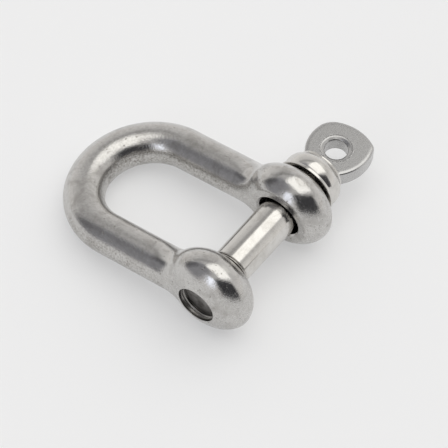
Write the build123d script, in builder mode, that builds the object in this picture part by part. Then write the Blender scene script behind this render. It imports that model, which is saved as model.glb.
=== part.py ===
from build123d import *
import math
import os

# D-shackle: a U of round bar with a ball-like ear on each end, closed by a screw pin.
# Millimetres. The U lies flat in XY with its crown towards -X, and +Z is up.
# The pin lies along Y, and the origin is on its axis, halfway between the ears.
# The ear at -Y is threaded, the one at +Y has a plain hole, and the pin's head is beyond it.

# Driving dimensions: the U
BAR_D = 12.5  # round bar of the legs and crown
INSIDE_WIDTH = 25.4  # between the flat inner faces of the ears
INSIDE_LENGTH = 45.7  # from the pin's side to the inside of the crown
EAR_D = 28.0  # each ear, seen along the pin
EAR_OUTER_RISE = 7.7  # from the middle of the bar to the outer top of an ear
EAR_INNER_RISE = 9.2  # the same inwards, before the flat face is cut
EAR_STEP = 0.2  # how far the flat faces stand inside the bar
NECK_BLEND = 3.0  # fillet where the bar runs into an ear
FACE_ROUND = 0.5  # rounded rim of each flat face

# Driving dimensions: the screw pin
PIN_D = 12.0
PITCH = 1.0  # fine right-hand thread
THREAD_LENGTH = 14.2
END_RECESS = 3.2  # from the tip of the pin to the outer top of the threaded ear
END_CHAMFER = 0.9
COLLAR_D = 19.4
COLLAR_LENGTH = 7.8
COLLAR_LIP = 0.9  # flat rim beside the ear
LIP_STEP = 0.35  # from the lip down to the barrel, on the radius
SHOULDER_D = 15.2  # where the collar meets the eye
EYE_ROOT_WIDTH = 12.6
EYE_WIDTH = 19.6
EYE_WIDEST_AT = 16.6  # along the pin from the collar's face, as the next three are
EYE_CORNER_AT = 22.6
EYE_END = 25.1
EYE_HOLE_AT = 15.4
EYE_CORNER_WIDTH = 16.6
EYE_CORNER_ROUND = 1.6
EYE_THICKNESS = 5.6
EYE_HOLE_D = 7.0
EYE_BEVEL = 0.7
HOLE_BEVEL = 1.0
ROOT_BLEND = 0.5  # fillet where the eye grows out of the collar's shoulder
EYE_TILT = 10.0  # degrees about the pin, as it stands at rest

# Fits
BORE_CLEARANCE = 2.2  # plain ear's hole over the pin, on the diameter
THREAD_CLEARANCE = 0.12  # between the two threads, on the radius and along the flank
BACKED_OFF = 0.5  # between the collar and its seat at rest
BORE_MOUTH = 0.6  # chamfer at each mouth of the plain hole
TAP_MOUTH = 0.1  # how much wider than the thread its two mouths are, on the radius
TAP_RECESS = 1.2  # depth of the plain mouth on the threaded ear's domed side

# Worked out from them
bar_r = BAR_D / 2
pin_r = PIN_D / 2
ear_r = EAR_D / 2
face_y = INSIDE_WIDTH / 2
leg_y = face_y + EAR_STEP + bar_r
leg_length = pin_r + INSIDE_LENGTH + bar_r - leg_y
ear_top_y = leg_y + EAR_OUTER_RISE
bore_r = pin_r + BORE_CLEARANCE / 2

# the thread's form: the pin's ridge tapers from its root to its crest
THREAD_DEPTH = 0.56 * PITCH
RIDGE_ROOT = 0.66 * PITCH
RIDGE_CREST = 0.16 * PITCH
FLANK_TAPER = (RIDGE_ROOT - RIDGE_CREST) / THREAD_DEPTH
OVERCUT = 0.1  # how far a thread cutter reaches past the surface that it cuts into
root_r = pin_r - THREAD_DEPTH
minor_r = root_r + THREAD_CLEARANCE
major_r = pin_r + THREAD_CLEARANCE


def ear_top_at(radius):
    """How far out along Y an ear's domed side is, at a radius from the pin's axis."""
    return leg_y + EAR_OUTER_RISE * math.sqrt(1 - (radius / ear_r) ** 2)


seat_y = max(ear_top_at(bore_r + BORE_MOUTH), leg_y + bar_r)  # whichever the collar meets first
collar_y = seat_y + BACKED_OFF
tip_y = -ear_top_y + END_RECESS
shank_y = tip_y + THREAD_LENGTH
mouth_r = major_r + TAP_MOUTH
thread_out_y = TAP_RECESS - ear_top_at(mouth_r)


def thread_cutter(inner_r, outer_r, inner_width, outer_width, start_y, turns):
    """A screw-shaped solid about the Y axis, as wide as stated at its two radii."""
    with BuildPart() as cutter:
        with BuildLine() as path:
            Helix(PITCH, PITCH * turns, inner_r, center=(0, start_y, 0), direction=(0, 1, 0))
        start = path.line @ 0
        outward = Vector(start.X, 0, start.Z).normalized()
        with BuildSketch(Plane(origin=start, x_dir=outward, z_dir=path.line % 0)):
            with BuildLine():
                Polyline(
                    (0, -inner_width / 2),
                    (outer_r - inner_r, -outer_width / 2),
                    (outer_r - inner_r, outer_width / 2),
                    (0, inner_width / 2),
                    close=True,
                )
            make_face()
        sweep(path=path.line, is_frenet=True)
    return cutter.part


# Each groove is cut first, in metal that reaches past its two ends, and is then trimmed. The pin's
# ridge is a whole number of turns from the start of the ear's groove, and its own groove is half a
# turn from its ridge.
PAST_FACE = 0.65 * PITCH  # how far the ear's groove passes the faces that trim it
SPARE_TURNS = 4  # turns of the pin's groove, and of its blank, that are trimmed away
ear_groove_width = RIDGE_CREST + 2 * THREAD_CLEARANCE
ear_groove = thread_cutter(
    minor_r - OVERCUT,
    major_r,
    ear_groove_width + FLANK_TAPER * (major_r - minor_r + OVERCUT),
    ear_groove_width,
    thread_out_y - PAST_FACE,
    (-face_y - thread_out_y + 2 * PAST_FACE) / PITCH,
)
ridge_y = thread_out_y - PAST_FACE + PITCH * math.floor((tip_y - thread_out_y) / PITCH - 1)
pin_groove = thread_cutter(
    root_r,
    pin_r + OVERCUT,
    PITCH - RIDGE_ROOT,
    PITCH - RIDGE_CREST + FLANK_TAPER * OVERCUT,
    ridge_y - PITCH / 2,
    math.ceil(THREAD_LENGTH / PITCH) + SPARE_TURNS,
)


with BuildPart() as shackle_body:
    # the U of bar
    with BuildLine() as route:
        Line((0, -leg_y), (-leg_length, -leg_y))
        CenterArc((-leg_length, 0), leg_y, 270, -180)
        Line((-leg_length, leg_y), (0, leg_y))
    with BuildSketch(Plane(origin=route.line @ 0, z_dir=route.line % 0)):
        Circle(bar_r)
    sweep(path=route.line)

    # the ears, turned about the pin's axis and blended into the bar
    with BuildSketch(Plane.XY):
        with BuildLine():
            EllipticalCenterArc((0, leg_y), ear_r, EAR_INNER_RISE, start_angle=270, arc_size=90)
            EllipticalCenterArc((0, leg_y), ear_r, EAR_OUTER_RISE, start_angle=0, arc_size=90)
            Line((0, ear_top_y), (0, leg_y - EAR_INNER_RISE))
        make_face()
        mirror(about=Plane.XZ)
    revolve(axis=Axis.Y)
    fillet(shackle_body.edges().filter_by(GeomType.BSPLINE), NECK_BLEND)

    # the threaded hole in the near ear, cut before the faces that trim its groove
    with BuildSketch(Plane.XZ):
        Circle(minor_r)
    extrude(amount=ear_top_y, mode=Mode.SUBTRACT)
    add(ear_groove, mode=Mode.SUBTRACT)

    # the jaw between the ears, which leaves their flat faces
    with BuildSketch(Plane.XY):
        Rectangle(2 * EAR_D, INSIDE_WIDTH)
    extrude(amount=EAR_D, both=True, mode=Mode.SUBTRACT)
    flat_faces = shackle_body.faces().filter_by(Axis.Y)
    fillet([face.outer_wire().edges() for face in flat_faces], FACE_ROUND)

    # the two mouths of the thread, and the plain hole in the far ear
    with BuildSketch(Plane.XY):
        with BuildLine():
            Polyline(
                (0, thread_out_y),
                (mouth_r, thread_out_y),
                (mouth_r, -ear_top_y),
                (0, -ear_top_y),
                close=True,
            )
        make_face()
        with BuildLine():
            Polyline(
                (0, -face_y),
                (mouth_r, -face_y),
                (minor_r, -face_y - (mouth_r - minor_r)),
                (0, -face_y - (mouth_r - minor_r)),
                close=True,
            )
        make_face()
        with BuildLine():
            Polyline(
                (0, face_y),
                (bore_r + BORE_MOUTH, face_y),
                (bore_r, face_y + BORE_MOUTH),
                (bore_r, seat_y - BORE_MOUTH),
                (bore_r + 2 * BORE_MOUTH, seat_y + BORE_MOUTH),
                (bore_r + 2 * BORE_MOUTH, ear_top_y),
                (0, ear_top_y),
                close=True,
            )
        make_face()
    revolve(axis=Axis.Y, mode=Mode.SUBTRACT)


with BuildPart() as pin_thread:
    # an over-long blank with its groove, then its two ends and the chamfer at its tip
    with BuildSketch(Plane.XZ.offset(-shank_y - SPARE_TURNS * PITCH)):
        Circle(pin_r)
    extrude(amount=THREAD_LENGTH + 2 * SPARE_TURNS * PITCH)
    add(pin_groove, mode=Mode.SUBTRACT)
    with BuildSketch(Plane.XY):
        with BuildLine():
            Polyline(
                (0, tip_y),
                (pin_r - END_CHAMFER, tip_y),
                (pin_r + END_CHAMFER, tip_y + 2 * END_CHAMFER),
                (pin_r + END_CHAMFER, shank_y),
                (0, shank_y),
                close=True,
            )
        make_face()
    revolve(axis=Axis.Y, mode=Mode.INTERSECT)


with BuildPart() as pin_shank:
    with BuildSketch(Plane.XZ.offset(-shank_y)):
        Circle(pin_r)
    extrude(amount=shank_y - collar_y)


with BuildPart() as pin_head:
    # the collar, with a flat lip beside the ear and a barrel that rounds down to a shoulder
    with BuildSketch(Plane.XY):
        with BuildLine():
            lip = Line((COLLAR_D / 2, collar_y), (COLLAR_D / 2, collar_y + COLLAR_LIP))
            step = Line(lip @ 1, (COLLAR_D / 2 - LIP_STEP, collar_y + COLLAR_LIP))
            barrel = ThreePointArc(
                step @ 1,
                (COLLAR_D / 2 - LIP_STEP, collar_y + COLLAR_LENGTH / 2),
                (SHOULDER_D / 2, collar_y + COLLAR_LENGTH),
            )
            Polyline(barrel @ 1, (0, collar_y + COLLAR_LENGTH), (0, collar_y), lip @ 0)
        make_face()
    revolve(axis=Axis.Y)

    # the flat eye, in its own plane through the pin's axis
    tilt = math.radians(EYE_TILT)
    eye_plane = Plane(
        origin=(0, collar_y, 0),
        x_dir=(math.cos(tilt), 0, -math.sin(tilt)),
        z_dir=(math.sin(tilt), 0, math.cos(tilt)),
    )
    with BuildSketch(eye_plane) as eye_outline:
        with BuildLine():
            right_side = ThreePointArc(
                (EYE_ROOT_WIDTH / 2, COLLAR_LENGTH),
                (EYE_WIDTH / 2, EYE_WIDEST_AT),
                (EYE_CORNER_WIDTH / 2, EYE_CORNER_AT),
            )
            far_end = ThreePointArc(
                right_side @ 1,
                (0, EYE_END),
                (-EYE_CORNER_WIDTH / 2, EYE_CORNER_AT),
            )
            left_side = ThreePointArc(
                far_end @ 1,
                (-EYE_WIDTH / 2, EYE_WIDEST_AT),
                (-EYE_ROOT_WIDTH / 2, COLLAR_LENGTH),
            )
            Polyline(left_side @ 1, (0, COLLAR_LENGTH / 2), right_side @ 0)
        make_face()
        fillet(eye_outline.vertices().group_by(Axis.Y)[-1], EYE_CORNER_ROUND)
    extrude(amount=EYE_THICKNESS / 2, both=True)
    with Locations(eye_plane):
        with Locations((0, EYE_HOLE_AT)):
            Hole(EYE_HOLE_D / 2)
    chamfer([face.inner_wires().edges() for face in pin_head.faces().filter_by(eye_plane)], HOLE_BEVEL)
    rims = [face.outer_wire().edges() for face in pin_head.faces().filter_by(eye_plane)]
    fillet([rim.filter_by(GeomType.CIRCLE) for rim in rims], EYE_BEVEL)
    shoulder = pin_head.faces().filter_by(Axis.Y).sort_by(Axis.Y)[-1]
    fillet(shoulder.inner_wires().edges(), ROOT_BLEND)


os.makedirs("parts", exist_ok=True)
shackle_body.part.label = "shackle_body"
export_step(shackle_body.part, "parts/shackle_body.step")
pin_thread.part.label = "pin_thread"
export_step(pin_thread.part, "parts/pin_thread.step")
pin_shank.part.label = "pin_shank"
export_step(pin_shank.part, "parts/pin_shank.step")
pin_head.part.label = "pin_head"
export_step(pin_head.part, "parts/pin_head.step")
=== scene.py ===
"""Dresses a screw pin D-shackle: its forged body, its turned pin, and the studio that they lie in.

Sizes are in millimetres and become metres as a mesh is made. The pin lies along Y, the crown of the
U is towards -X, and +Z is square to the plane of the U.
"""

import logging
import math
from dataclasses import dataclass
from enum import Enum

import bmesh
import bpy
import numpy as np
from mathutils import Matrix, Vector


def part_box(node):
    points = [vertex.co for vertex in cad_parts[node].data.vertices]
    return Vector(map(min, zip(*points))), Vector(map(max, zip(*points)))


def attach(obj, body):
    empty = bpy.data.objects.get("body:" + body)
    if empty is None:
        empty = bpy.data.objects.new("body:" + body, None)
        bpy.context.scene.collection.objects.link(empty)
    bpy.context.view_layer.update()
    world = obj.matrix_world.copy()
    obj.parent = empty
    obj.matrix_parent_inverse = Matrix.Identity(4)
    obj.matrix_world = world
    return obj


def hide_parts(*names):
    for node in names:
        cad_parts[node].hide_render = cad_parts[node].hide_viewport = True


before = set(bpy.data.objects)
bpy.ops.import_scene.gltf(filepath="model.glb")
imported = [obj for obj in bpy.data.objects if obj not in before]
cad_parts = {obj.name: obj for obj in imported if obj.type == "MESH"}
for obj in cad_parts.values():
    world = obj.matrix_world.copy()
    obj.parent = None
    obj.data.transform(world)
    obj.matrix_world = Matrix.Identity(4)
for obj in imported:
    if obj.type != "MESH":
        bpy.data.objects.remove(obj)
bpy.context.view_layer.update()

log = logging.getLogger("shackle")

MM = 0.001
WELD = 0.0002  # points nearer than this many millimetres are one
TURN = 2 * math.pi


class Zone(Enum):
    """Which finish a face of the shackle has."""

    SATIN = "tumbled"
    # the threaded hole's wall, painted dark as shade
    SHADED_BORE = "shaded_bore"
    TURNED = "turned"
    THREADED = "threaded"
    MILLED = "milled"
    # the pin's end face, painted dark as the shade in the ear's recess
    SHADED_END = "shaded_end"


# ---------------------------------------------------------------- shapes


def corner_box(node: str) -> tuple[np.ndarray, np.ndarray]:
    """The lowest and highest corners of a frame node.

    Args:
        node: the node's name.

    Returns:
        The two corners, in millimetres.
    """
    low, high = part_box(node)
    return np.array(low) / MM, np.array(high) / MM


def towards(start: np.ndarray, end: np.ndarray) -> np.ndarray:
    """Unit vectors from one set of points to another."""
    way = end - start
    return way / np.linalg.norm(way, axis=-1, keepdims=True)


def bent(start: np.ndarray, corner: np.ndarray, end: np.ndarray, steps: int) -> np.ndarray:
    """A curve that leaves start for the corner and comes in to end from it.

    The weights are those of a quadratic curve: (1-t) squared, 2t(1-t) and t squared.

    Args:
        start: one point, or one for each column.
        corner: the point that the curve is drawn towards.
        end: where it ends.
        steps: how many stretches it has.

    Returns:
        The points, with the steps along the first axis.
    """
    t = np.linspace(0, 1, steps + 1).reshape((-1,) + (1,) * np.ndim(start))
    return (1 - t) ** 2 * start + 2 * t * (1 - t) * corner + t**2 * end


def eased(corners: list[tuple[float, float]], setbacks: list[float], steps: int = 5) -> np.ndarray:
    """An open profile with every inner corner rounded.

    Each straight stretch keeps a point close to both of its ends, so that it shades flat.

    Args:
        corners: the sharp corners, in order.
        setbacks: how far before and after each inner corner its round starts.
        steps: how many stretches each round has.

    Returns:
        The profile's points, one row each.
    """
    hold = 1.25  # the points kept on the straights stand this many setbacks from the corner
    sharp = np.array(corners, float)
    runs = [sharp[:1]]
    for before, corner, after, setback in zip(sharp[:-2], sharp[1:-1], sharp[2:], setbacks):
        back, on = towards(corner, before), towards(corner, after)
        runs.append((corner + hold * setback * back)[None])
        runs.append(bent(corner + setback * back, corner, corner + setback * on, steps))
        runs.append((corner + hold * setback * on)[None])
    runs.append(sharp[-1:])
    return np.concatenate(runs)


def arc_through(start: tuple, middle: tuple, end: tuple, steps: int) -> np.ndarray:
    """The arc of the circle through three points in a plane.

    The centre is as far from all three, which is two linear equations in its two coordinates.

    Args:
        start: the first point.
        middle: a point on the way.
        end: the last point.
        steps: how many stretches it has.

    Returns:
        The arc's points, one row each.
    """
    a, b, c = (np.array(p, float) for p in (start, middle, end))
    centre = np.linalg.solve(2 * np.array([b - a, c - a]), [b @ b - a @ a, c @ c - a @ a])
    first, mid, last = (math.atan2(*(p - centre)[::-1]) for p in (a, b, c))
    way = 1 if (mid - first) % TURN < (last - first) % TURN else -1
    sweep = way * ((way * (last - first)) % TURN)
    angle = first + sweep * np.linspace(0, 1, steps + 1)
    return centre + np.linalg.norm(a - centre) * np.stack([np.cos(angle), np.sin(angle)], axis=-1)


def side_of(curve: np.ndarray) -> np.ndarray:
    """Unit vectors to the left of a curve in a plane, square to it at each of its points.

    Args:
        curve: the curve's points, one row each.

    Returns:
        The vectors, one row each.
    """
    along = np.gradient(curve, axis=0)
    left = np.stack([-along[:, 1], along[:, 0]], axis=-1)
    return left / np.linalg.norm(left, axis=-1, keepdims=True)


def full_turn(count: int) -> np.ndarray:
    """The angles of a full turn in equal steps, with both of its ends."""
    return TURN * np.arange(count + 1) / count


def smooth_step(value: np.ndarray) -> np.ndarray:
    """3t^2 - 2t^3 of a value held between 0 and 1."""
    t = np.clip(value, 0, 1)
    return t * t * (3 - 2 * t)


@dataclass(frozen=True)
class Sheet:
    """A surface as rows by columns of points, with the finish of its faces."""

    points: np.ndarray
    zone: Zone


def weld(name: str, sheets: list[Sheet], finishes: list["Finish"]) -> bpy.types.Object:
    """Joins sheets that share their borders into one closed, smooth mesh.

    Args:
        name: the piece's name.
        sheets: the surfaces, in millimetres. Equal points on them become one.
        finishes: one finish for each zone that the sheets use.

    Returns:
        The piece, at the origin, with its place in its mesh.
    """
    slots = [finish.zone for finish in finishes]
    quads, zones, first = [], [], 0
    for sheet in sheets:
        rows, columns = sheet.points.shape[:2]
        index = first + np.arange(rows * columns).reshape(rows, columns)
        ring = [index[:-1, :-1], index[:-1, 1:], index[1:, 1:], index[1:, :-1]]
        quads.append(np.stack(ring, axis=-1).reshape(-1, 4))
        zones.append(np.full(len(quads[-1]), slots.index(sheet.zone)))
        first += rows * columns
    corners = np.concatenate([sheet.points.reshape(-1, 3) for sheet in sheets])
    mesh = bpy.data.meshes.new(name)
    mesh.from_pydata((corners * MM).tolist(), [], np.concatenate(quads).tolist())
    mesh.polygons.foreach_set("material_index", np.concatenate(zones))
    work = bmesh.new()
    work.from_mesh(mesh)
    bmesh.ops.remove_doubles(work, verts=work.verts, dist=WELD * MM)
    bmesh.ops.recalc_face_normals(work, faces=work.faces)
    open_edges = sum(not edge.is_manifold for edge in work.edges)
    work.to_mesh(mesh)
    work.free()
    mesh.shade_smooth()
    for finish in finishes:
        mesh.materials.append(finish.material())
    piece = bpy.data.objects.new(name, mesh)
    bpy.context.scene.collection.objects.link(piece)
    log.info("%s: %d faces, %d open edges", name, len(mesh.polygons), open_edges)
    return piece


# ---------------------------------------------------------------- the screw thread


@dataclass(frozen=True)
class Thread:
    """The right-hand thread that the pin and the near ear share, about the Y axis."""

    pitch: float = 1.0
    depth: float = 0.56
    clearance: float = 0.12
    crest_half: float = 0.08  # in pitches
    root_half: float = 0.33  # in pitches

    # where the rows of a turn lie, in pitches from the middle of the pin's ridge
    ROWS = np.array([0, 0.05, 0.09, 0.16, 0.24, 0.32, 0.37, 0.5, 0.63, 0.68, 0.76, 0.84, 0.91, 0.95])

    def fall(self, phase: np.ndarray, wider: float = 0.0) -> np.ndarray:
        """How deep the flank is below the ridge: 0 on its crest, 1 at its root.

        Args:
            phase: place along the thread in pitches, 0 in the middle of the ridge.
            wider: how much wider the ridge's crest is, in pitches to each side.

        Returns:
            The share of the depth, straight between crest and root.
        """
        away = np.abs((phase + 0.5) % 1 - 0.5)
        slope = (away - self.crest_half - wider) / (self.root_half - self.crest_half)
        return np.clip(slope, 0, 1)

    def rows(self, turned: np.ndarray, low: float, high: float) -> tuple[np.ndarray, np.ndarray]:
        """Rows that climb with the thread, so that each keeps to one height of its flank.

        A point's place along Y is its row's phase less its share of a turn, times the pitch. Past
        the two ends the rows lie on the end circle.

        Args:
            turned: each column's angle about the pin in turns, from +X towards +Z.
            low: where the thread starts along Y.
            high: where it ends.

        Returns:
            The place along Y and the phase of each row and column.
        """
        first = math.floor(low / self.pitch + turned.min()) - 1
        last = math.ceil(high / self.pitch + turned.max()) + 1
        phase = (np.arange(first, last)[:, None] + self.ROWS).reshape(-1, 1)
        place = np.clip((phase - turned) * self.pitch, low, high)
        return place, np.broadcast_to(phase, place.shape)


# ---------------------------------------------------------------- finishes


class Nodes:
    """A material's or world's node tree, with short ways to add to it."""

    def __init__(self, tree: bpy.types.NodeTree) -> None:
        """Empties the tree."""
        self.tree = tree
        tree.nodes.clear()

    def feed(self, socket: bpy.types.NodeSocket, value: object) -> None:
        """Sets an input, or links it where the value is a node's output.

        Args:
            socket: the input.
            value: a number, a vector, a colour or an output.
        """
        if isinstance(value, bpy.types.NodeSocket):
            self.tree.links.new(value, socket)
        else:
            socket.default_value = value

    def add(self, kind: str, inputs: dict | None = None, **settings: object) -> bpy.types.Node:
        """Adds a node.

        Args:
            kind: Blender's name for the node type.
            inputs: values or outputs for its inputs, by name or number.
            settings: the node's own properties.

        Returns:
            The node.
        """
        node = self.tree.nodes.new(kind)
        for name, value in settings.items():
            setattr(node, name, value)
        for name, value in (inputs or {}).items():
            self.feed(node.inputs[name], value)
        return node

    def math(self, operation: str, *values: object) -> bpy.types.NodeSocket:
        """Adds a Math node and returns its result."""
        node = self.add("ShaderNodeMath", dict(enumerate(values)), operation=operation)
        return node.outputs[0]

    def swing(self, value: bpy.types.NodeSocket, gain: float) -> bpy.types.NodeSocket:
        """How far a value is from a half, times a gain."""
        return self.math("MULTIPLY", self.math("SUBTRACT", value, 0.5), gain)

    def range(
        self,
        value: bpy.types.NodeSocket,
        ends: tuple[object, object],
        to: tuple[float, float] = (0.0, 1.0),
    ) -> bpy.types.NodeSocket:
        """Maps one range smoothly to another.

        Args:
            value: what is mapped.
            ends: the range that it has.
            to: the range that it gets.

        Returns:
            The mapped value, held within its new range.
        """
        inputs = {0: value, 1: ends[0], 2: ends[1], 3: to[0], 4: to[1]}
        node = self.add("ShaderNodeMapRange", inputs, interpolation_type="SMOOTHSTEP")
        return node.outputs[0]

    def mix(self, share: object, first: object, second: object) -> bpy.types.NodeSocket:
        """Mixes two colours.

        Args:
            share: how much of the second one there is.
            first: a colour or an output.
            second: a colour or an output.

        Returns:
            The mixed colour.
        """
        factor, colour_a, colour_b = 0, 6, 7  # the node's inputs where it mixes colours
        inputs = {factor: share, colour_a: first, colour_b: second}
        node = self.add("ShaderNodeMix", data_type="RGBA")
        for number, value in inputs.items():
            self.feed(node.inputs[number], value)
        return node.outputs[2]

    def noise(self, place: bpy.types.NodeSocket, scale: float, **inputs: float) -> bpy.types.NodeSocket:
        """Adds fractal noise at so many cells to a unit and returns its value."""
        node = self.add("ShaderNodeTexNoise", {"Vector": place, "Scale": scale, **inputs})
        return node.outputs[0]

    def along(self, vector: bpy.types.NodeSocket, axis: Vector) -> bpy.types.NodeSocket:
        """How far a vector goes along an axis."""
        node = self.add("ShaderNodeVectorMath", {0: vector, 1: axis}, operation="DOT_PRODUCT")
        return node.outputs["Value"]


@dataclass(frozen=True)
class Finish:
    """Stainless steel, with the marks that one way of working it leaves."""

    zone: Zone
    name: str
    colour: tuple[float, float, float]
    stain: tuple[float, float, float]  # colour of the patches, of the pits' floors and of the painted shade at the thread's roots
    roughness: tuple[float, float]  # from the smoothest spots to the roughest
    grain: float  # size of the grain, mm
    relief: float  # height of the grain, mm
    pits: float = 0.0  # share of the surface near a pit, 0 for none
    pit_size: float = 0.9  # mm between pits
    pit_depth: float = 0.02  # mm
    turned: float = 0.0  # height of the rings that a lathe leaves, mm
    patches: float = 0.5  # how strongly the patches show
    shaded_below: float = 0.0  # radius about the pin below which shade is painted into the thread's roots, mm
    bar_from: float = 0.0  # where along X a tumbled bar starts, mm, 0 for none
    bar_grit: float = 0.012  # height of the bar's dull speckles, mm

    def material(self) -> bpy.types.Material:
        """Makes the material, with the marks that this finish has.

        Returns:
            The material.
        """
        material = bpy.data.materials.new(self.name)
        material.use_nodes = True
        steel = Steel(self, material.node_tree)
        if self.bar_from:
            steel.tumble()
        if self.pits:
            steel.pit()
        if self.shaded_below:
            steel.paint_root_shade()
        if self.turned:
            steel.turn()
        steel.shade()
        return material


class Steel:
    """The nodes of a finish. Each kind of mark adds to its stain, its roughness and its height, and the
    thread's roots get painted shade.

    The grain is fractal noise of a few tenths of a millimetre, and patches some millimetres across
    change its colour and roughness.
    """

    def __init__(self, finish: Finish, tree: bpy.types.NodeTree) -> None:
        """Starts with the grain and the patches.

        Args:
            finish: what the steel looks like.
            tree: the material's node tree.
        """
        self.finish = finish
        self.nodes = nodes = Nodes(tree)
        self.place = nodes.add("ShaderNodeTexCoord")
        scale = (1 / MM, 1 / MM, 1 / MM)
        mapping = nodes.add("ShaderNodeMapping", {"Vector": self.place.outputs["Object"], "Scale": scale})
        self.in_mm = mapping.outputs[0]
        self.grain = nodes.noise(self.in_mm, 1 / finish.grain, Detail=4.0, Roughness=0.62)
        self.patches = nodes.noise(self.in_mm, 0.22, Detail=5.0, Roughness=0.66, Distortion=0.4)
        self.stain_and_shade = nodes.math("MULTIPLY", nodes.range(self.patches, (0.42, 0.72)), finish.patches)
        fine = nodes.math("MULTIPLY", self.grain, 0.6)
        coarse = nodes.math("MULTIPLY", self.patches, 0.4)
        self.rough = nodes.math("ADD", fine, coarse)
        self.height = nodes.math("MULTIPLY", self.grain, finish.relief * MM)

    def tumble(self) -> None:
        """Leaves dull speckles where tumbling wore the forging less.

        That is on its sides, by how little they face up or down, and more on the bar than on the
        ears.
        """
        nodes, start = self.nodes, self.finish.bar_from
        fade = 8  # mm over which the bar's share of it comes in
        upwards = nodes.add("ShaderNodeSeparateXYZ", {0: self.place.outputs["Normal"]}).outputs["Z"]
        x = nodes.add("ShaderNodeSeparateXYZ", {0: self.in_mm}).outputs["X"]
        bar = nodes.range(x, (start + fade, start))
        facing = nodes.math("ADD", nodes.math("ABSOLUTE", upwards), nodes.swing(self.patches, 0.5))
        side = nodes.range(facing, (0.75, 0.3))
        side = nodes.math("MAXIMUM", side, nodes.math("MULTIPLY", bar, 0.3))
        speckle = nodes.noise(self.in_mm, 1.7, Detail=2.0, Roughness=0.7)
        spots = nodes.range(speckle, (0.42, 0.62), (0.1, 0.9))
        unworn = nodes.range(self.patches, (0.3, 0.62), (0.35, 1.0))
        share = nodes.math("MULTIPLY_ADD", bar, 0.65, 0.45)
        strength = nodes.math("MULTIPLY", spots, share)
        where = nodes.math("MULTIPLY", side, unworn)
        dull = nodes.math("MULTIPLY", strength, where)
        self.stain_and_shade = nodes.math("MAXIMUM", self.stain_and_shade, dull)
        self.rough = nodes.math("ADD", self.rough, nodes.swing(side, 0.3))
        coarser = nodes.math("MULTIPLY_ADD", bar, 0.9, 1.0)
        grit = nodes.math("MULTIPLY", dull, self.finish.bar_grit * MM)
        self.height = nodes.math("ADD", nodes.math("MULTIPLY", self.height, coarser), grit)

    def pit(self) -> None:
        """Sinks pits at the middles of scattered cells, more of them here and fewer there."""
        nodes, finish = self.nodes, self.finish
        inputs = {"Vector": self.in_mm, "Scale": 1 / finish.pit_size, "Randomness": 1.0}
        cells = nodes.add("ShaderNodeTexVoronoi", inputs).outputs["Distance"]
        ragged = nodes.math("ADD", cells, nodes.swing(self.grain, 0.5))
        sparse = nodes.noise(self.in_mm, 0.45, Detail=2.0)
        reach = nodes.range(sparse, (0.62 - finish.pits, 0.72), (0.0, 0.3))
        pit = nodes.range(nodes.math("SUBTRACT", ragged, reach), (0.06, -0.04))
        self.stain_and_shade = nodes.math("MAXIMUM", self.stain_and_shade, nodes.math("MULTIPLY", pit, 0.8))
        sunk = nodes.math("MULTIPLY", pit, finish.pit_depth * MM)
        self.height = nodes.math("SUBTRACT", self.height, sunk)

    def paint_root_shade(self) -> None:
        """Paints shade near the pin's axis, into the roots of its thread."""
        nodes, limit = self.nodes, self.finish.shaded_below
        flatten = nodes.add("ShaderNodeVectorMath", {0: self.in_mm, 1: (1, 0, 1)}, operation="MULTIPLY")
        radius = nodes.add("ShaderNodeVectorMath", {0: flatten.outputs[0]}, operation="LENGTH")
        # painted shade: darker towards the pin's axis, in the thread's grooves
        root_shade = nodes.range(radius.outputs["Value"], (limit, limit - 0.2))
        self.stain_and_shade = nodes.math("MAXIMUM", self.stain_and_shade, root_shade)

    def turn(self) -> None:
        """Leaves a lathe's rings: noise that changes along the pin and hardly round it."""
        nodes = self.nodes
        across, along = 0.05, 9.0  # how fast it changes, per millimetre
        mapping = {"Vector": self.in_mm, "Scale": (across, along, across)}
        squeezed = nodes.add("ShaderNodeMapping", mapping).outputs[0]
        rings = nodes.noise(squeezed, 1.0, Detail=3.0)
        raised = nodes.math("MULTIPLY", rings, self.finish.turned * MM)
        self.height = nodes.math("ADD", self.height, raised)
        halves = (nodes.math("MULTIPLY", self.rough, 0.5), nodes.math("MULTIPLY", rings, 0.5))
        self.rough = nodes.math("ADD", *halves)

    def shade(self) -> None:
        """Gives all of it to the steel's shader."""
        nodes, finish = self.nodes, self.finish
        bump = nodes.add("ShaderNodeBump", {"Height": self.height, "Strength": 1.0, "Distance": 1.0})
        shader = nodes.add(
            "ShaderNodeBsdfPrincipled",
            {
                "Base Color": nodes.mix(self.stain_and_shade, (*finish.colour, 1.0), (*finish.stain, 1.0)),
                "Metallic": 1.0,
                "Roughness": nodes.range(self.rough, (0.32, 0.68), finish.roughness),
                "Normal": bump.outputs[0],
            },
        )
        nodes.add("ShaderNodeOutputMaterial", {"Surface": shader.outputs[0]})


SATIN = Finish(
    zone=Zone.SATIN,
    name="tumbled_forging",
    colour=(0.6, 0.59, 0.575),
    stain=(0.27, 0.253, 0.232),
    roughness=(0.12, 0.28),
    grain=0.5,
    relief=0.03,
    pits=0.17,
    bar_from=-22.0,
)
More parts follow.
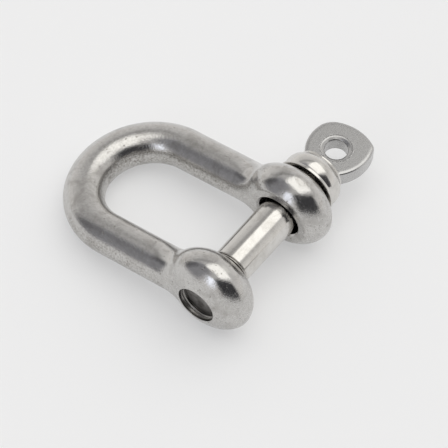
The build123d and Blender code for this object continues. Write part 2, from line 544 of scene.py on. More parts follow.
# painted shade: the dark colour and stain stand in for the shade inside the threaded hole; the rings are
# the boring's own
SHADED_BORE = Finish(
    zone=Zone.SHADED_BORE,
    name="shaded_bore_steel",
    colour=(0.3, 0.29, 0.275),
    stain=(0.12, 0.11, 0.1),
    roughness=(0.25, 0.4),
    grain=0.2,
    relief=0.002,
    turned=0.003,
)
TURNED = Finish(
    zone=Zone.TURNED,
    name="turned_steel",
    colour=(0.68, 0.665, 0.64),
    stain=(0.5, 0.48, 0.45),
    roughness=(0.1, 0.22),
    grain=0.3,
    relief=0.003,
    turned=0.0015,
    patches=0.6,
)
THREADED = Finish(
    zone=Zone.THREADED,
    name="threaded_steel",
    colour=(0.6, 0.585, 0.56),
    # this stain is mostly the painted shade at the thread's roots
    stain=(0.13, 0.12, 0.105),
    roughness=(0.12, 0.22),
    grain=0.2,
    relief=0.001,
    patches=0.2,
    shaded_below=5.85,
)
MILLED = Finish(
    zone=Zone.MILLED,
    name="milled_steel",
    colour=(0.52, 0.516, 0.512),
    stain=(0.42, 0.415, 0.41),
    roughness=(0.2, 0.34),
    grain=0.4,
    relief=0.005,
)
# painted shade: the end face's dark colour and stain stand in for the shade in the ear's recess
SHADED_END = Finish(
    zone=Zone.SHADED_END,
    name="pin_end_painted_shade",
    colour=(0.26, 0.25, 0.24),
    stain=(0.06, 0.055, 0.05),
    roughness=(0.35, 0.55),
    grain=0.6,
    relief=0.014,
    patches=0.9,
)


# ---------------------------------------------------------------- the forged body


@dataclass
class ShackleBody:
    """The U of round bar, with a ball-like ear on each end."""

    thread: Thread
    bar_r: float = 6.25
    ear_r: float = 14.0
    outer_rise: float = 7.7  # of an ear, from the bar's axis to its outer top
    inner_rise: float = 9.2  # the same inwards, before the flat face is cut
    face_y: float = 12.7  # flat face of each ear, from the middle
    face_depth: float = 6.45  # the same from the bar's axis
    face_round: float = 0.3  # how softly the flat faces cut the forging
    rim_width: float = 0.4  # how far in from its edge a flat face is rounded
    turnover: float = 3.0  # to each side of the bar's axis, where an ear's outer half becomes its inner
    neck: float = 9.5  # how widely the bar and the ears run into each other
    neck_from: float = 21.0  # how far behind the pin's axis the plain bar starts
    bore_r: float = 7.1
    bore_mouth: float = 0.6
    bore_round: float = 0.3  # of the edge of the plain ear's mouth
    bore_neck_r: float = 8.3  # how far from the pin's axis the neck reaches up the plain ear
    tap_mouth_r: float = 6.22
    tap_recess: float = 1.2
    tap_round: float = 0.12  # of the edge of the threaded ear's mouth
    tap_neck_r: float = 7.1  # how far from the pin's axis the neck reaches up the threaded ear
    tap_edge: float = 0.08  # depth of the plain rim inside the thread's inner mouth
    columns: int = 128
    patch_half: int = 17  # columns of an ear, to each side, that the neck takes
    mouth_rows: int = 4  # of an ear's skin, from its mouth to the neck
    outer_rows: int = 17  # from there to its widest place
    inner_rows: int = 14  # and from there to its flat face
    neck_rows: int = 30
    leg_rows: int = 13  # of each straight leg
    crown_rows: int = 95

    @property
    def leg_y(self) -> float:
        """Where the axis of a leg is."""
        return self.face_y + self.face_depth

    def outside(self, place: np.ndarray) -> np.ndarray:
        """How far points stand off the forging, less than 0 inside it.

        The ear is half one ellipsoid and half another, turned about the pin's axis. The bar is a
        round rod along -X with a round end. Their union is filled in where they cross at a steep
        angle, in proportion to 1 less the cosine between the two surfaces, and is cut by the flat
        face.

        Args:
            place: points as x, the way outwards from the bar's axis, and z.

        Returns:
            About the distance to the surface, in millimetres.
        """
        x, out, z = place[..., 0], place[..., 1], place[..., 2]
        outer = smooth_step((out + self.turnover) / (2 * self.turnover))
        rise = self.inner_rise + (self.outer_rise - self.inner_rise) * outer
        across = (x * x + z * z) / self.ear_r**2
        size = np.sqrt(across + (out / rise) ** 2)
        slope = np.sqrt(across / self.ear_r**2 + (out / rise**2) ** 2)
        ear = size * (size - 1) / slope
        past_end = np.clip(x, 0, None)
        reach = np.sqrt(out * out + z * z + past_end**2)
        bar = reach - self.bar_r
        shared = (out / rise) ** 2 + (z / self.ear_r) ** 2 + (past_end / self.ear_r) ** 2
        cosine = shared / (slope * np.maximum(reach, 0.1))
        width = self.neck * np.clip(1 - cosine, 0, 1) + 0.02
        fill = np.clip(1 - np.abs(ear - bar) / width, 0, None)
        both = np.minimum(ear, bar) - fill**2 * width / 4
        cut = -out - self.face_depth
        soft = np.clip(1 - np.abs(both - cut) / self.face_round, 0, None)
        return np.maximum(both, cut) + soft**2 * self.face_round / 4

    def settle(self, place: np.ndarray) -> np.ndarray:
        """Moves points that are near the surface down its slope until they lie on it.

        Each round takes off the distance to the surface along the slope, which is measured over a
        short step each way.

        Args:
            place: points as x, outwards and z.

        Returns:
            The points on the surface.
        """
        step, rounds, least_slope = 0.01, 8, 0.5
        for _ in range(rounds):
            ahead = [self.outside(place + step * way) for way in np.eye(3)]
            behind = [self.outside(place - step * way) for way in np.eye(3)]
            slope = (np.stack(ahead, axis=-1) - np.stack(behind, axis=-1)) / (2 * step)
            steep = np.maximum((slope**2).sum(-1, keepdims=True), least_slope**2)
            place = place - self.outside(place)[..., None] * slope / steep
        return place

    def around(self, x: np.ndarray, angle: np.ndarray) -> np.ndarray:
        """Points of the surface straight out from the bar's axis.

        The distance is found by halving the span between a point inside and one outside.

        Args:
            x: the stations along the bar.
            angle: the ways out, from outwards towards +Z.

        Returns:
            The points as x, outwards and z.
        """
        halvings = 36
        low, high = np.full(x.shape, self.bar_r / 2), np.full(x.shape, self.ear_r + 2)
        for _ in range(halvings):
            middle = (low + high) / 2
            here = np.stack([x, middle * np.cos(angle), middle * np.sin(angle)], axis=-1)
            inside = self.outside(here) < 0
            low, high = np.where(inside, middle, low), np.where(inside, high, middle)
        return np.stack([x, low * np.cos(angle), low * np.sin(angle)], axis=-1)

    def in_place(self, local: np.ndarray, side: int) -> np.ndarray:
        """Turns x, outwards and z into x, y and z, at the ear on one side."""
        return np.stack([local[..., 0], side * (self.leg_y + local[..., 1]), local[..., 2]], axis=-1)

    def mouth(self, tapped: bool) -> tuple[float, float]:
        """The radius of an ear's mouth and the round of its edge, which is small on the thread's."""
        plain = (self.bore_r + self.bore_mouth, self.bore_round)
        return (self.tap_mouth_r, self.tap_round) if tapped else plain

    def dome(self, tapped: bool) -> tuple[np.ndarray, int]:
        """The ear's skin, from its mouth over its widest place to the flat face.

        Each row is a circle about the pin's axis, of the radius and height of an ellipse, settled
        on the forging's surface.

        Args:
            tapped: whether it is the threaded ear.

        Returns:
            The skin's points, and the first of the rows that the neck leaves.
        """
        mouth_r, soft = self.mouth(tapped)
        first = math.acos((mouth_r + soft) / self.ear_r)
        crossing = math.acos((self.tap_neck_r if tapped else self.bore_neck_r) / self.ear_r)
        last = math.asin((self.face_depth - self.face_round) / self.inner_rise)
        near_mouth = np.linspace(first, crossing, self.mouth_rows + 1)[:-1]
        outer = np.linspace(crossing, 0, self.outer_rows + 1)[:-1]
        tilt = np.concatenate([near_mouth, outer, -np.linspace(0, last, self.inner_rows)])
        rise = np.where(tilt > 0, self.outer_rise, self.inner_rise)
        skin = self.rings(np.stack([self.ear_r * np.cos(tilt), rise * np.sin(tilt)], axis=-1))
        skin = self.settle(skin)
        skin[:, -1] = skin[:, 0]
        return skin, self.mouth_rows

    def rings(self, profile: np.ndarray) -> np.ndarray:
        """Turns a profile about the pin's axis.

        Args:
            profile: each row's radius and its way outwards.

        Returns:
            The points as x, outwards and z, one row for each of the profile's.
        """
        angle = full_turn(self.columns)
        radius, out = profile[:, :1], np.broadcast_to(profile[:, 1:], (len(profile), len(angle)))
        return np.stack([radius * np.cos(angle), out, radius * np.sin(angle)], axis=-1)

    def tapped_wall(self, low: float, high: float) -> np.ndarray:
        """The thread in the near ear, between two places outwards from the bar's axis.

        The radius is the pin's own with the clearance added, and opens out in a cone to the mouth's
        at both ends.

        Args:
            low: where it starts.
            high: where it ends.

        Returns:
            The wall's points as x, outwards and z.
        """
        thread, cone_slope = self.thread, 1.2
        turned = np.arange(self.columns + 1) / self.columns
        y, phase = thread.rows(turned, -self.leg_y - high, -self.leg_y - low)
        out = -y - self.leg_y
        pin_r = corner_box("pin_thread")[1][0]
        fall = thread.fall(phase, thread.clearance / thread.pitch)
        groove = pin_r + thread.clearance - thread.depth * fall
        cones = self.tap_mouth_r - cone_slope * np.minimum(out - low, high - out)
        radius = np.maximum(groove, cones)
        angle = TURN * turned
        return np.stack([radius * np.cos(angle), out, radius * np.sin(angle)], axis=-1)

    def ear(self, side: int) -> tuple[list[Sheet], np.ndarray]:
        """Builds one ear, open where its leg runs into it.

        Args:
            side: 1 for the plain ear at +Y, -1 for the threaded one.

        Returns:
            Its sheets, and the loop of points at its opening, from its outer middle towards +Z.
        """
        tapped = side < 0
        mouth_r, soft = self.mouth(tapped)
        skin, top = self.dome(tapped)
        angle = full_turn(self.columns)
        circle = np.stack([np.cos(angle), np.zeros_like(angle), np.sin(angle)], axis=-1)
        outwards = np.array([0.0, 1.0, 0.0])

        # the round of the mouth's edge, and the wall's first ring, a little way in
        lip = skin[0] * outwards + mouth_r * circle + 0.36 * soft * outwards
        wall_top = float(lip[:, 1].min()) - (0.25 if tapped else self.bore_mouth)
        wall_r = mouth_r if tapped else self.bore_r
        wall = wall_r * circle + wall_top * outwards
        mouth = bent(skin[0], lip, lip - 0.8 * soft * outwards, 6)
        mouth = np.concatenate([mouth, wall[None]])

        # the flat face with its rounded rim, and the hole's wall
        flat = -self.face_depth
        rim_r = self.ear_r * math.sqrt(1 - (self.face_depth / self.inner_rise) ** 2)
        corner = rim_r * circle + flat * outwards
        face_r = rim_r - self.rim_width
        rim = bent(skin[-1], corner, face_r * circle + flat * outwards, 6)
        if tapped:
            start, end = flat + self.tap_edge, self.dome_height(mouth_r) - self.tap_recess
            face = self.rings(eased([(face_r, flat), (mouth_r, flat), (mouth_r, start)], [0.06], 3))
            # the hole's walls take the bore's painted shade
            bore = [
                Sheet(self.tapped_wall(start, end), Zone.SHADED_BORE),
                Sheet(np.stack([mouth_r * circle + end * outwards, wall]), Zone.SHADED_BORE),
            ]
        else:
            inner = [
                (face_r, flat),
                (mouth_r, flat),
                (self.bore_r, flat + self.bore_mouth),
                (self.bore_r, wall_top),
            ]
            face = self.rings(eased(inner, [0.12, 0.15], 4))
            bore = []
        sheets = [Sheet(mouth, Zone.SATIN), Sheet(np.concatenate([rim, face[1:]]), Zone.SATIN), *bore]

        # the skin, apart from the patch that faces the leg
        middle = self.columns // 2
        left, right = middle - self.patch_half, middle + self.patch_half
        sheets.append(Sheet(skin[: top + 1], Zone.SATIN))
        sheets.append(Sheet(skin[top:, : left + 1], Zone.SATIN))
        sheets.append(Sheet(skin[top:, right:], Zone.SATIN))

        # z falls as the column number grows, at the side of the ear that faces the leg
        upper = skin[top, left : right + 1][::-1]
        lower = skin[-1, left : right + 1]
        inwards, back = skin[top:, left], skin[top:, right][::-1]
        edge = [upper[self.patch_half :], inwards[1:], lower[1:], back[1:]]
        loop = np.concatenate(edge + [upper[1 : self.patch_half + 1]])
        placed = [Sheet(self.in_place(sheet.points, side), sheet.zone) for sheet in sheets]
        return placed, loop

    def dome_height(self, radius: float) -> float:
        """How far an ear's outer dome stands off the bar's axis, at a radius from the pin's."""
        return self.outer_rise * math.sqrt(1 - (radius / self.ear_r) ** 2)

    def neck_sheet(self, loop: np.ndarray, side: int) -> Sheet:
        """The blend from an ear's opening to the round bar.

        Each point moves evenly in station and in angle about the bar's axis from its place in the
        opening to its place on the bar's first ring, and is put on the surface there. The last row
        is the bar's own ring, so that nothing gapes.

        Args:
            loop: the opening's points as x, outwards and z.
            side: 1 for the ear at +Y, -1 for the other.

        Returns:
            The neck.
        """
        count = len(loop) - 1
        start = np.unwrap(np.arctan2(loop[:, 2], loop[:, 1]))
        end = math.copysign(TURN, start[-1] - start[0]) * np.arange(count + 1) / count
        share = np.linspace(0, 1, self.neck_rows + 1)[:, None]
        x = loop[:, 0] + share * (-self.neck_from - loop[:, 0])
        angle = start + share * (end - start)
        rows = self.around(x, angle)
        rows[0] = loop
        rows[-1, :, 1:] = self.bar_r * np.stack([np.cos(angle[-1]), np.sin(angle[-1])], axis=-1)
        return Sheet(self.in_place(rows, side), Zone.SATIN)

    def bar(self, points: int) -> Sheet:
        """The round bar between the two necks.

        A circle is carried along the U: down one leg, half round the crown, and up the other.

        Args:
            points: how many points there are round the bar.

        Returns:
            The bar.
        """
        crown_x = corner_box("shackle_body")[0][0]
        bend_x = crown_x + self.bar_r + self.leg_y
        straight = np.linspace(-self.neck_from, bend_x, self.leg_rows)
        turn = np.linspace(0, math.pi, self.crown_rows + 2)[1:-1]
        leg = np.zeros(self.leg_rows)
        out_x = np.concatenate([leg, -np.sin(turn), leg])[:, None]
        out_y = np.concatenate([leg - 1, -np.cos(turn), leg + 1])[:, None]
        x = np.concatenate([straight, bend_x - self.leg_y * np.sin(turn), straight[::-1]])[:, None]
        y = self.leg_y * out_y
        angle = full_turn(points)
        out, up = self.bar_r * np.cos(angle), self.bar_r * np.sin(angle)
        around = np.broadcast_arrays(x + out_x * out, y + out_y * out, up)
        return Sheet(np.stack(around, axis=-1), Zone.SATIN)

    def build(self) -> bpy.types.Object:
        """Makes the body and lets it stand for the frame's own.

        Returns:
            The body.
        """
        near, near_loop = self.ear(-1)
        far, far_loop = self.ear(1)
        necks = [self.neck_sheet(near_loop, -1), self.neck_sheet(far_loop, 1)]
        sheets = near + far + necks + [self.bar(len(near_loop) - 1)]
        piece = weld("forged_body", sheets, [SATIN, SHADED_BORE])
        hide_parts("shackle_body")
        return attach(piece, "shackle")


# ---------------------------------------------------------------- the screw pin


@dataclass
class ScrewPin:
    """The pin: its threaded end, shank, collar and flat eye in one piece."""

    thread: Thread
    end_chamfer: float = 0.9
    tip_edge: float = 0.15  # width of the bevel just inside that chamfer
    run_out: float = 0.6  # over which the thread fades into the shank
    collar_r: float = 9.7
    collar_length: float = 7.8
    collar_lip: float = 0.9
    barrel_step: float = 0.25  # from the lip's radius to the barrel's widest
    groove_step: float = 0.7  # from there to the bottom of the groove beside the lip
    barrel_fall: float = 1.5  # how far short of the collar's end the barrel stops
    shoulder_r: float = 7.6
    ring_inset: float = 0.25  # from the shoulder's edge to the ring that the eye's root starts from
    eye_root_half: float = 6.45
    eye_half: float = 9.8
    eye_left_half: float = 9.35
    eye_widest: float = 16.6  # along the pin from the collar's face, as the next four are
    eye_corner: float = 22.8
    eye_left_corner: float = 22.2
    eye_end: float = 25.08
    hole_at: float = 15.4
    corner_half: float = 8.6
    left_corner_half: float = 7.9
    thick_half: float = 2.8
    hole_r: float = 3.5
    hole_bevel: float = 1.0
    edge_bevel: float = 1.1
    bevel_depth: float = 0.62  # how far both kinds of bevel go down the eye's thickness
    root_blend: float = 0.6
    tilt: float = math.radians(10)  # of the eye about the pin
    root_steps: int = 20  # along half of the eye's root
    bevel_steps: int = 7  # across each bevel of the eye's side
    level_rows: int = 9  # across the eye's side, between its bevels
    face_rows: int = 11  # from the eye's outline to the hole's bevel

    @property
    def columns(self) -> int:
        """How many points there are round the pin: as many as round the eye's root."""
        return 4 * self.root_steps + 2 * (2 * self.bevel_steps + self.level_rows + 1)

    @property
    def ring_r(self) -> float:
        """Radius of the ring on the shoulder that the eye's root starts from."""
        return self.shoulder_r - self.ring_inset

    def in_place(self, across: np.ndarray, along: np.ndarray, up: np.ndarray) -> np.ndarray:
        """Turns places in the eye's own plane into x, y and z.

        Args:
            across: how far to the eye's right.
            along: how far along the pin from the collar's face.
            up: how far above the eye's middle plane.

        Returns:
            The points.
        """
        low = corner_box("pin_head")[0][1]
        x = across * math.cos(self.tilt) + up * math.sin(self.tilt)
        z = up * math.cos(self.tilt) - across * math.sin(self.tilt)
        return np.stack(np.broadcast_arrays(x, low + along, z), axis=-1)

    def turned(self, profile: np.ndarray) -> np.ndarray:
        """Turns a profile about the pin's axis.

        Args:
            profile: each row's radius and its place from the collar's face.

        Returns:
            The points, one row for each of the profile's.
        """
        angle = full_turn(self.columns)
        radius, along = profile[:, :1], profile[:, 1:]
        return self.in_place(radius * np.sin(angle), along, radius * np.cos(angle))

    def threaded_end(self, tip: float, end: float, radius: float) -> list[Sheet]:
        """The pin's end face, its chamfer and its thread.

        The thread's radius is the pin's less its groove, which fades out at the shank, and is held
        below the chamfer's. A column's turn about the pin, from +X towards +Z, is a quarter less its
        angle from the eye's upper side and less the eye's tilt.

        Args:
            tip: where the pin ends, from the collar's face.
            end: where the plain shank starts.
            radius: the pin's.

        Returns:
            The sheets.
        """
        flat_r = radius - self.end_chamfer
        face = [(0, tip), (flat_r, tip), (flat_r + self.tip_edge, tip + self.tip_edge)]
        low = corner_box("pin_head")[0][1]
        turned = 0.25 - self.tilt / TURN - np.arange(self.columns + 1) / self.columns
        y, phase = self.thread.rows(turned, low + tip + self.tip_edge, low + end)
        along = y - low
        fade = smooth_step((end - along) / self.run_out)
        deep = self.thread.depth * self.thread.fall(phase) * fade
        chamfer = flat_r + (along - tip)
        size = np.minimum(radius - deep, chamfer)
        angle = full_turn(self.columns)
        wall = self.in_place(size * np.sin(angle), along, size * np.cos(angle))
        # the end face gets the painted shade of the ear's recess
        return [Sheet(self.turned(eased(face, [0.08], 3)), Zone.SHADED_END), Sheet(wall, Zone.THREADED)]

    def collar(self, start: float, radius: float) -> Sheet:
        """The shank and the collar, up to the ring on its shoulder.

        The profile goes along the shank, out over the lip's flat face and its rim, down into the
        groove, along the barrel's arc and over the shoulder.

        Args:
            start: where the plain shank starts, from the collar's face.
            radius: the pin's.

        Returns:
            The sheet.
        """
        length, lip, lip_r = self.collar_length, self.collar_lip, self.collar_r
        barrel_r = lip_r - self.barrel_step
        groove_r = barrel_r - self.groove_step
        barrel_end = (self.shoulder_r + self.barrel_fall / 2, length - self.barrel_fall)
        shank = eased([(radius, start), (radius, 0), (lip_r, 0), (lip_r, lip)], [0.25, 0.16])
        step = eased([(lip_r, lip / 2), (lip_r, lip), (groove_r, lip + 0.05)], [0.14])
        barrel = arc_through((groove_r, lip + 0.12), (barrel_r, 0.45 * length), barrel_end, 24)
        edge = [
            barrel_end,
            (self.shoulder_r, length - 0.55),
            (self.shoulder_r, length),
            (self.ring_r, length),
        ]
        shoulder = eased(edge, [0.1, 0.08], 3)
        profile = np.concatenate([shank[:-1], step[1:-1], barrel, shoulder[1:]])
        return Sheet(self.turned(profile), Zone.TURNED)

    def eye_outline(self) -> np.ndarray:
        """The eye's side, from the right end of its root round to the left end.

        Each side is an arc through its widest place, the far end is a flatter arc, and the two
        corners between them are rounded, the right one sharper than the left. A straight stretch
        leads into the sharper one.

        Returns:
            The points as across and along.
        """
        foot = self.collar_length + self.root_blend
        tip = (self.corner_half, self.eye_corner)
        left_tip = (-self.left_corner_half, self.eye_left_corner)
        widest = (self.eye_half, self.eye_widest)
        left_widest = (-self.eye_left_half, self.eye_widest)
        steps = 60
        right = arc_through((self.eye_root_half, foot), widest, tip, steps)
        end = arc_through(tip, (0, self.eye_end), left_tip, steps)
        left = arc_through(left_tip, left_widest, (-self.eye_root_half, foot), steps)
        crisp, soft = 3, 9  # how many of the arcs' own points each corner's round replaces
        return np.concatenate([
            right[:-soft:2],
            bent(right[-crisp - 1], right[-1], end[crisp], 6),
            end[crisp + 1 : -soft : 2],
            bent(end[-soft], end[-1], left[soft], 8),
            left[soft + 1 :: 2],
        ])

    def eye(self) -> tuple[list[Sheet], np.ndarray]:
        """Builds the flat eye, open at its root.

        Its faces run from the hole's bevel to the outline's, and its side goes over the two bevels.

        Returns:
            Its sheets, and the loop of its root as across and up, from its upper middle to the right.
        """
        thick, deep = self.thick_half, self.bevel_depth
        steps, face_rows = self.root_steps, self.face_rows
        side = self.eye_outline()
        inwards = side_of(side)
        inwards[0], inwards[-1] = (-1, 0), (1, 0)
        rim = side + self.edge_bevel * inwards
        root = self.collar_length + self.root_blend
        half = np.linspace(0, rim[0, 0], steps + 1)
        right = np.stack([half, np.full(steps + 1, root)], axis=-1)
        left = np.stack([-half[::-1], np.full(steps + 1, root)], axis=-1)
        closed = np.concatenate([right[:-1], rim, left[1:]])

        # the faces and the hole's wall: bottom rim to hole, up, and out to the top rim
        centre = np.array([0, self.hole_at])
        ray = towards(centre, closed)
        outer_r = np.linalg.norm(closed - centre, axis=-1)
        hole = eased(
            [
                (self.hole_r + 1.3 * self.hole_bevel, thick),
                (self.hole_r + self.hole_bevel, thick),
                (self.hole_r, thick - deep),
                (self.hole_r, 0),
            ],
            [0.25, 0.3],
        )
        share = np.linspace(0, 1, face_rows + 1)[:-1, None]
        face_r = outer_r + share * (hole[0, 0] - outer_r)
        face_r = np.concatenate([face_r, np.broadcast_to(hole[:, :1], (len(hole), len(closed)))])
        up = np.concatenate([np.full(face_rows, thick), hole[:, 1]])
        both_r = np.concatenate([face_r, face_r[::-1][1:]])
        both_up = np.concatenate([up, -up[::-1][1:]])[:, None]
        spot = centre + both_r[..., None] * ray
        faces = Sheet(self.in_place(spot[..., 0], spot[..., 1], both_up), Zone.MILLED)

        # the side, over its two bevels, which are quarters of an ellipse
        quarter = np.linspace(0, math.pi / 2, self.bevel_steps + 1)
        opening, closing = 1 - np.cos(quarter), 1 - np.sin(quarter)
        level = np.linspace(thick - deep, deep - thick, self.level_rows + 2)[1:-1]
        inset = self.edge_bevel * np.concatenate([closing, np.zeros(self.level_rows), opening])
        up = np.concatenate([thick - deep * opening, level, -thick + deep * closing])
        spot = side + inset[:, None, None] * inwards
        edge = Sheet(self.in_place(spot[..., 0], spot[..., 1], up[:, None]), Zone.MILLED)

        # the root's loop: over the top, down the right side, back underneath and up the left side
        flat = np.linspace(-rim[0, 0], rim[0, 0], 2 * steps + 1)
        over = np.stack([flat, np.full(2 * steps + 1, thick)], axis=-1)
        down = np.stack([spot[:, 0, 0], up], axis=-1)
        under = np.stack([flat[::-1], np.full(2 * steps + 1, -thick)], axis=-1)
        rise = down[::-1] * (-1, 1)
        loop = np.concatenate([over[steps:-1], down, under[1:-1], rise, over[1 : steps + 1]])
        return [faces, edge], loop

    def root(self, loop: np.ndarray) -> Sheet:
        """The fillet where the eye grows out of the shoulder, and the flat round it.

        The loop moves outwards as a quarter circle falls to the shoulder, then in three steps to
        the ring.

        Args:
            loop: the root's points as across and up.

        Returns:
            The sheet.
        """
        wrapped = np.concatenate([loop[-3:-1], loop, loop[1:3]])
        outwards = side_of(wrapped)[2:-2]
        angle = np.linspace(0, math.pi / 2, 9)[:, None, None]
        blend = self.root_blend
        foot = loop + blend * (1 - np.cos(angle)) * outwards
        fall = self.collar_length + blend * (1 - np.sin(angle[:, :, 0]))
        turn = full_turn(self.columns)
        ring = self.ring_r * np.stack([np.sin(turn), np.cos(turn)], axis=-1)
        share = np.array([0.15, 0.5, 1.0])[:, None, None]
        flat = foot[-1] + share * (ring - foot[-1])
        across = np.concatenate([foot, flat])
        along = np.concatenate([fall, np.full((len(share), 1), self.collar_length)])
        return Sheet(self.in_place(across[..., 0], along, across[..., 1]), Zone.TURNED)

    def build(self) -> bpy.types.Object:
        """Makes the pin and lets it stand for the frame's three parts of it.

        Returns:
            The pin, riding on the body that turns.
        """
        head_low = corner_box("pin_head")[0][1]
        tip = corner_box("pin_thread")[0][1] - head_low
        start = corner_box("pin_shank")[0][1] - head_low
        radius = corner_box("pin_shank")[1][0]
        eye, loop = self.eye()
        end = self.threaded_end(tip, start, radius)
        sheets = [*end, self.collar(start, radius), *eye, self.root(loop)]
        piece = weld("screw_pin_forging", sheets, [TURNED, THREADED, MILLED, SHADED_END])
        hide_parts("pin_shank", "pin_thread", "pin_head")
        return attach(piece, "screw_pin")


# ---------------------------------------------------------------- the studio


@dataclass(frozen=True)
class Panel:
    """A lamp or a dark screen far off, as the polished steel shows it."""

    azimuth: float  # degrees, 0 behind the camera and 90 to its right
    zenith: float  # degrees from straight up off the floor
    half_width: float  # degrees
    half_height: float  # degrees
    colour: tuple[float, float, float]
    strength: float
    edge: float  # how softly it ends, as a tangent
    turn: float = 0.0  # degrees, in its own plane


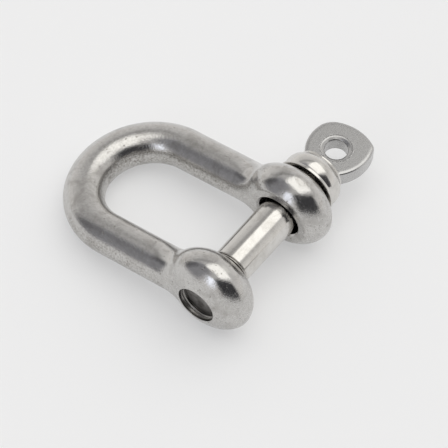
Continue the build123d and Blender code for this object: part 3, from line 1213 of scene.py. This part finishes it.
@dataclass
class Studio:
    """The pale table that the shackle lies on, the light and the camera."""

    body: ShackleBody
    azimuth: float = 46.18  # the camera's, degrees from looking along +Y
    elevation: float = 49.635  # degrees
    roll: float = -10.663  # degrees
    distance: float = 820.4
    target: tuple[float, float, float] = (-11.57, 2.08, 0.17)
    lens: float = 225.69
    sensor: float = 36.0
    table: float = 3000.0  # width of the table
    table_gap: float = 0.03  # between it and the ears
    table_colour: tuple[float, float, float] = (0.55, 0.552, 0.557)
    table_glow: float = 0.35  # light that the paper lets through from below
    lamp: float = 2600.0  # width of the soft lamp over the table
    lamp_height: float = 1100.0
    lamp_power: float = 5.0
    horizon: tuple[float, float, float] = (0.86, 0.845, 0.825)  # colour of the room, low down
    ceiling: tuple[float, float, float] = (0.63, 0.622, 0.615)

    panels = (
        Panel(-80, 58, 25, 33, (0.31, 0.31, 0.33), 1.0, 0.45),
        Panel(-98, 66, 8, 18, (0.15, 0.15, 0.16), 1.0, 0.15),
        Panel(178, 34, 52, 7, (0.4, 0.395, 0.39), 1.0, 0.13),
        Panel(20, 66, 38, 29, (0.062, 0.062, 0.067), 1.0, 0.16),
        Panel(128, 50, 12, 12, (1.0, 0.985, 0.95), 0.95, 0.3),
        Panel(97, 12, 25, 31, (1.0, 0.99, 0.96), 1.5, 0.1, turn=31),
        Panel(-38, 67, 8, 15, (0.86, 0.9, 1.0), 1.8, 0.14),
    )

    def floor_up(self) -> Vector:
        """The way that is straight up off the table.

        The shackle leans on it by the angle whose sine is the ears' extra radius over the crown's
        distance, because its ears are thicker than its crown.

        Returns:
            The unit vector.
        """
        crown_x = corner_box("shackle_body")[0][0] + self.body.bar_r
        lean = math.asin((self.body.ear_r - self.body.bar_r) / -crown_x)
        return Vector((math.sin(lean), 0, math.cos(lean)))

    def back(self) -> Vector:
        """The way from the shackle to the camera."""
        a, e = math.radians(self.azimuth), math.radians(self.elevation)
        return Vector((math.sin(a) * math.cos(e), -math.cos(a) * math.cos(e), math.sin(e)))

    def camera(self) -> bpy.types.Object:
        """Sets up the camera.

        Returns:
            The camera, which is the scene's.
        """
        back = self.back()
        level = Vector((0, 0, 1)).cross(back).normalized()
        above = back.cross(level)
        roll = math.radians(self.roll)
        right = math.cos(roll) * level + math.sin(roll) * above
        up = math.cos(roll) * above - math.sin(roll) * level
        data = bpy.data.cameras.new("camera")
        data.sensor_width = self.sensor
        data.lens = self.lens
        data.clip_start, data.clip_end = 0.01, 50  # metres
        camera = bpy.data.objects.new("camera", data)
        turned = Matrix((right, up, back)).transposed().to_4x4()
        spot = (Vector(self.target) + back * self.distance) * MM
        camera.matrix_world = Matrix.Translation(spot) @ turned
        bpy.context.scene.collection.objects.link(camera)
        bpy.context.scene.camera = camera
        return camera

    def floor(self) -> bpy.types.Object:
        """Lays the table against the undersides of the ears and the crown.

        Returns:
            The table.
        """
        up = np.array(self.floor_up())
        along = self.table / 2 * np.array([up[2], 0, -up[0]])
        across = self.table / 2 * np.array([0, 1, 0])
        centre = -(self.body.ear_r + self.table_gap) * up
        signs = ((-1, -1), (1, -1), (1, 1), (-1, 1))
        corners = [centre + i * along + j * across for i, j in signs]
        mesh = bpy.data.meshes.new("table")
        mesh.from_pydata((np.array(corners) * MM).tolist(), [], [(0, 1, 2, 3)])
        table = bpy.data.objects.new("table", mesh)
        bpy.context.scene.collection.objects.link(table)
        material = bpy.data.materials.new("table_paper")
        material.use_nodes = True
        shader = material.node_tree.nodes["Principled BSDF"]
        shader.inputs["Base Color"].default_value = (*self.table_colour, 1)
        shader.inputs["Emission Color"].default_value = (1, 1, 1, 1)
        shader.inputs["Emission Strength"].default_value = self.table_glow
        shader.inputs["Roughness"].default_value = 0.9
        shader.inputs["Specular IOR Level"].default_value = 0.1
        mesh.materials.append(material)
        return table

    def shows(self, nodes: Nodes, way: bpy.types.NodeSocket, panel: Panel) -> bpy.types.NodeSocket:
        """Finds where a panel shows.

        It does where a way out, divided by its part along the panel's own axis, lies within the
        panel's half width and half height.

        Args:
            nodes: the world's nodes.
            way: the way out, as a node's output.
            panel: the panel.

        Returns:
            How much of the panel shows: 1 within it, 0 past its soft edge.
        """
        up = self.floor_up()
        ahead = (self.back() - self.back().dot(up) * up).normalized()
        right = up.cross(ahead)
        a, z, t = (math.radians(v) for v in (panel.azimuth, panel.zenith, panel.turn))
        flat = math.cos(a) * ahead + math.sin(a) * right
        axis = math.sin(z) * flat + math.cos(z) * up
        side = up.cross(flat)
        upper = axis.cross(side)
        wide = math.cos(t) * side + math.sin(t) * upper
        tall = math.cos(t) * upper - math.sin(t) * side
        depth = nodes.math("MAXIMUM", nodes.along(way, axis), 0.001)
        masks = []
        for direction, half in ((wide, panel.half_width), (tall, panel.half_height)):
            off = nodes.math("ABSOLUTE", nodes.math("DIVIDE", nodes.along(way, direction), depth))
            limit = math.tan(math.radians(half))
            masks.append(nodes.range(off, (limit + panel.edge / 2, limit - panel.edge / 2)))
        return nodes.math("MULTIPLY", *masks)

    def light(self) -> None:
        """Surrounds the table with a pale room, and hangs its lamps and dark screens in it."""
        world = bpy.data.worlds.new("room")
        bpy.context.scene.world = world
        world.use_nodes = True
        nodes = Nodes(world.node_tree)
        way = nodes.add("ShaderNodeTexCoord").outputs["Generated"]
        height = nodes.range(nodes.along(way, self.floor_up()), (0.0, 0.85))
        colour = nodes.mix(height, (*self.horizon, 1), (*self.ceiling, 1))
        for panel in self.panels:
            glow = [panel.strength * part for part in panel.colour]
            colour = nodes.mix(self.shows(nodes, way, panel), colour, (*glow, 1))
        background = nodes.add("ShaderNodeBackground", {"Color": colour, "Strength": 1.0})
        nodes.add("ShaderNodeOutputWorld", {"Surface": background.outputs[0]})

    def overhead(self) -> bpy.types.Object:
        """Hangs a soft lamp straight over the table, which lights the paper and isn't mirrored.

        Returns:
            The lamp.
        """
        data = bpy.data.lights.new("overhead", "AREA")
        data.size = self.lamp * MM
        data.energy = self.lamp_power
        lamp = bpy.data.objects.new("overhead", data)
        up = self.floor_up()
        turned = up.to_track_quat("Z", "Y").to_matrix().to_4x4()
        lamp.matrix_world = Matrix.Translation(up * self.lamp_height * MM) @ turned
        lamp.visible_glossy = False
        bpy.context.scene.collection.objects.link(lamp)
        return lamp

    def build(self) -> None:
        """Makes the studio, and shows its colours as they are."""
        self.camera()
        self.floor()
        self.light()
        self.overhead()
        bpy.context.scene.view_settings.view_transform = "Standard"


def main() -> None:
    """Builds the studio, then the body and the pin, and reports each."""
    logging.basicConfig(level=logging.INFO, format="%(name)s: %(message)s")
    thread = Thread()
    body = ShackleBody(thread)
    Studio(body).build()
    for part in (body, ScrewPin(thread)):
        piece = part.build()
        log.info("built %s from %s", piece.name, type(part).__name__)


if __name__ == "__main__":
    main()
